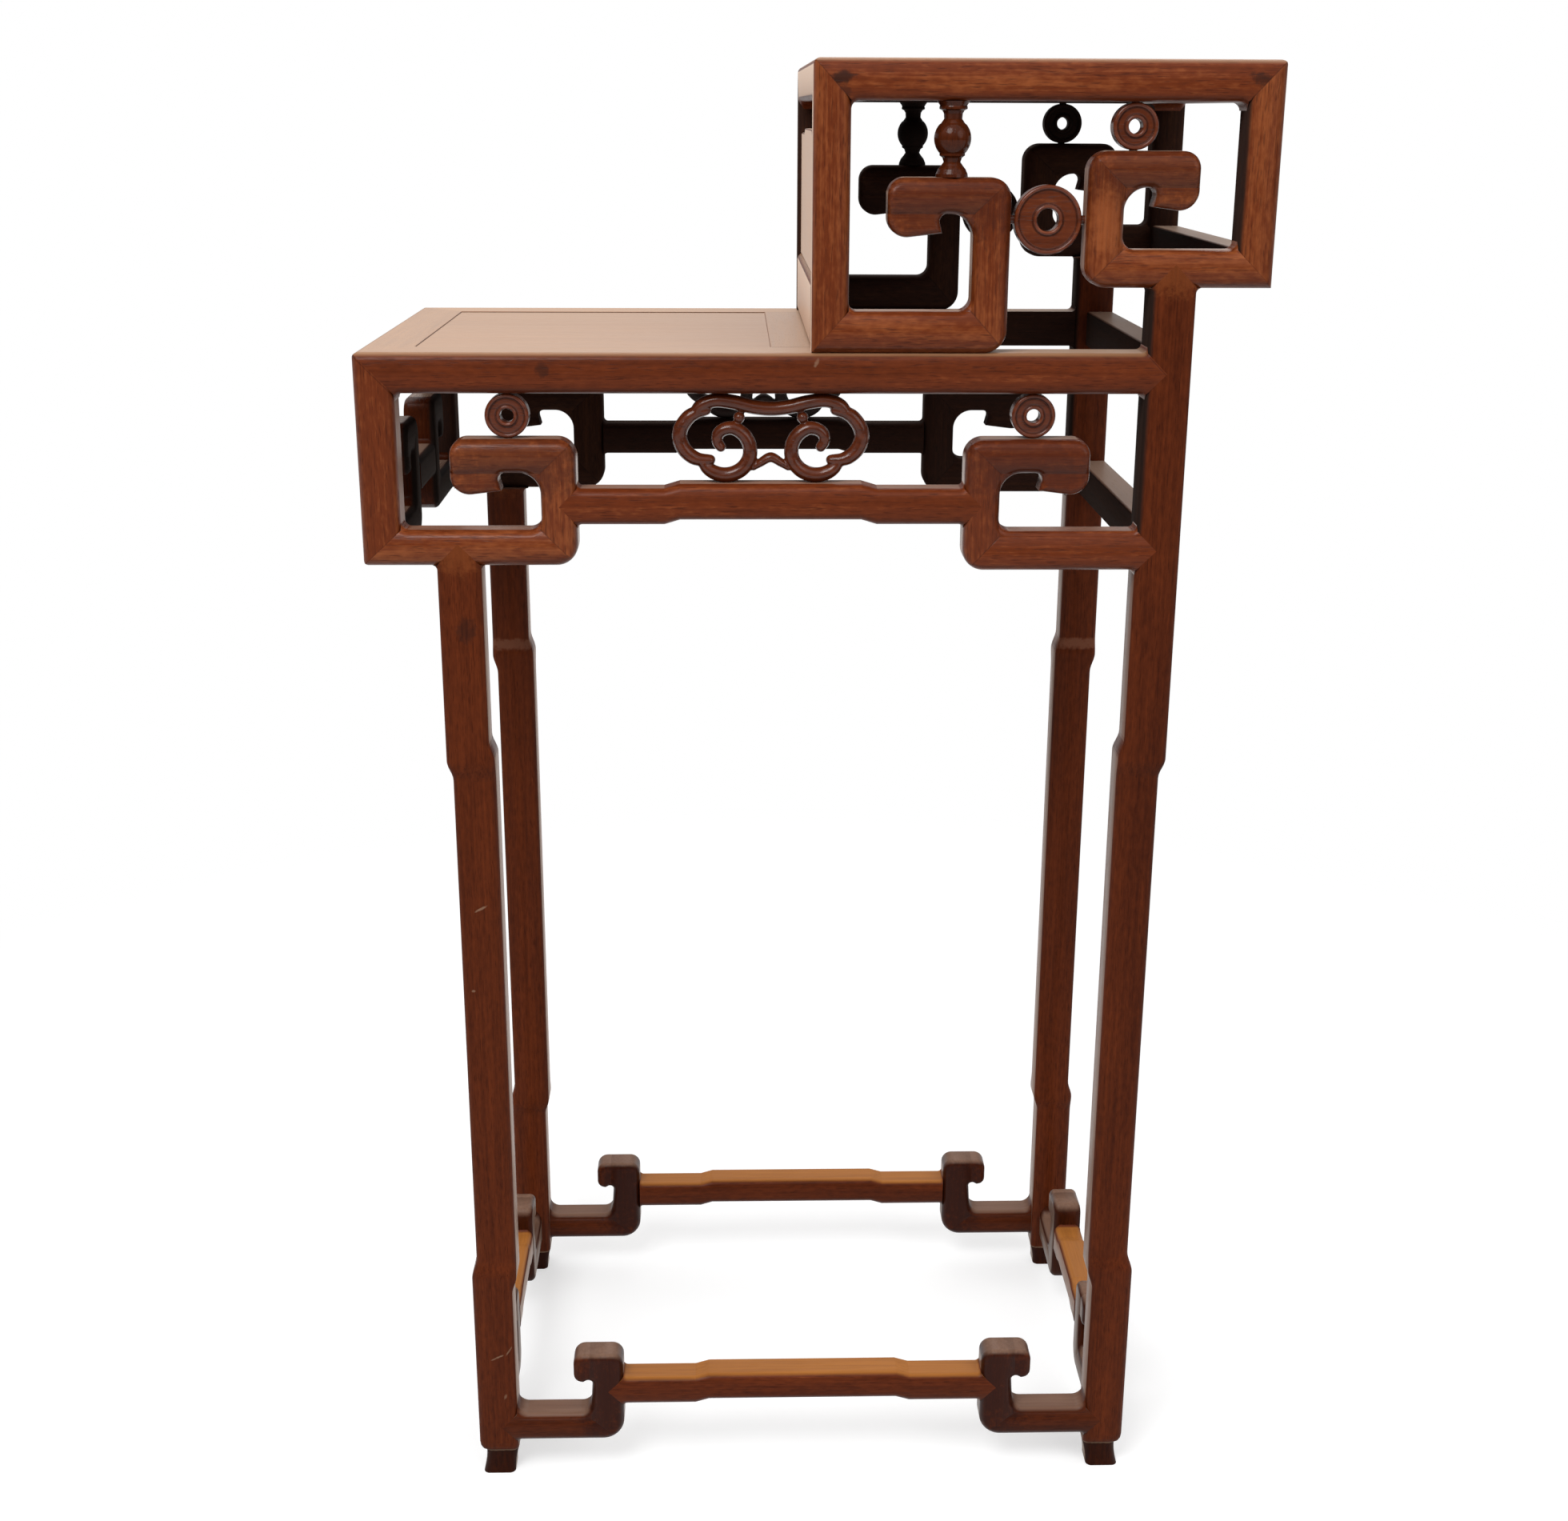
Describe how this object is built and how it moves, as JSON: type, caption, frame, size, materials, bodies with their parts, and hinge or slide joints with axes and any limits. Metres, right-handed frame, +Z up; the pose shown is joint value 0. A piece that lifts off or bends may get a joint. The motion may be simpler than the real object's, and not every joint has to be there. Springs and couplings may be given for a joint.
{
  "type": "two-tier openwork display stand",
  "caption": "Tall hardwood stand with a low panelled top, a raised top at one end, hooked scrolls under both, four jogged legs and hooked base stretchers.",
  "frame": {"origin": "on the floor, at the bottom centre of the bounding box", "axes": "+X along the length towards the raised tier, +Y into the depth away from the front, +Z up"},
  "size_m": [0.572, 0.3046, 1],
  "materials": {
    "frame_wood": "satin reddish-brown hardwood",
    "carved_wood": "satin reddish-brown hardwood with polished edges",
    "panel_wood": "satin reddish-brown hardwood board",
    "foot_wood": "dark worn hardwood"
  },
  "bodies": {
    "root": {"apron_rail_back": "frame_wood", "apron_rail_front": "frame_wood", "baluster_back": "carved_wood", "baluster_front": "carved_wood", "corner_post_back": "frame_wood", "corner_post_front": "frame_wood", "foot_back_left": "foot_wood", "foot_back_right": "foot_wood", "foot_front_left": "foot_wood", "foot_front_right": "foot_wood", "large_ring_back": "carved_wood", "large_ring_front": "carved_wood", "left_end_apron_rail": "frame_wood", "left_end_scroll_back": "carved_wood", "left_end_scroll_front": "carved_wood", "leg_back_left": "frame_wood", "leg_back_right": "frame_wood", "leg_front_left": "frame_wood", "leg_front_right": "frame_wood", "long_rail_back": "frame_wood", "long_rail_front": "frame_wood", "lower_cross_rail": "frame_wood", "lower_left_end_rail": "frame_wood", "lower_left_scroll_back": "carved_wood", "lower_left_scroll_front": "carved_wood", "lower_right_end_rail": "frame_wood", "lower_right_scroll_back": "carved_wood", "lower_right_scroll_front": "carved_wood", "lower_rings_back": "carved_wood", "lower_rings_front": "carved_wood", "lower_top_panel": "panel_wood", "right_end_low_rail": "frame_wood", "ruyi_ornament_back": "carved_wood", "ruyi_ornament_front": "carved_wood", "stretcher_back": "frame_wood", "stretcher_front": "frame_wood", "stretcher_hooks_back": "frame_wood", "stretcher_hooks_front": "frame_wood", "stretcher_hooks_left": "frame_wood", "stretcher_hooks_right": "frame_wood", "stretcher_left": "frame_wood", "stretcher_right": "frame_wood", "upper_left_end_board": "frame_wood", "upper_left_end_rail": "frame_wood", "upper_left_post_back": "frame_wood", "upper_left_post_front": "frame_wood", "upper_left_scroll_back": "carved_wood", "upper_left_scroll_front": "carved_wood", "upper_rail_back": "frame_wood", "upper_rail_front": "frame_wood", "upper_rail_left": "frame_wood", "upper_rail_right": "frame_wood", "upper_right_end_rail": "frame_wood", "upper_right_post_back": "frame_wood", "upper_right_post_front": "frame_wood", "upper_right_scroll_back": "carved_wood", "upper_right_scroll_front": "carved_wood", "upper_ring_back": "carved_wood", "upper_ring_front": "carved_wood", "upper_top_panel": "panel_wood"}
  },
  "joints": []
}
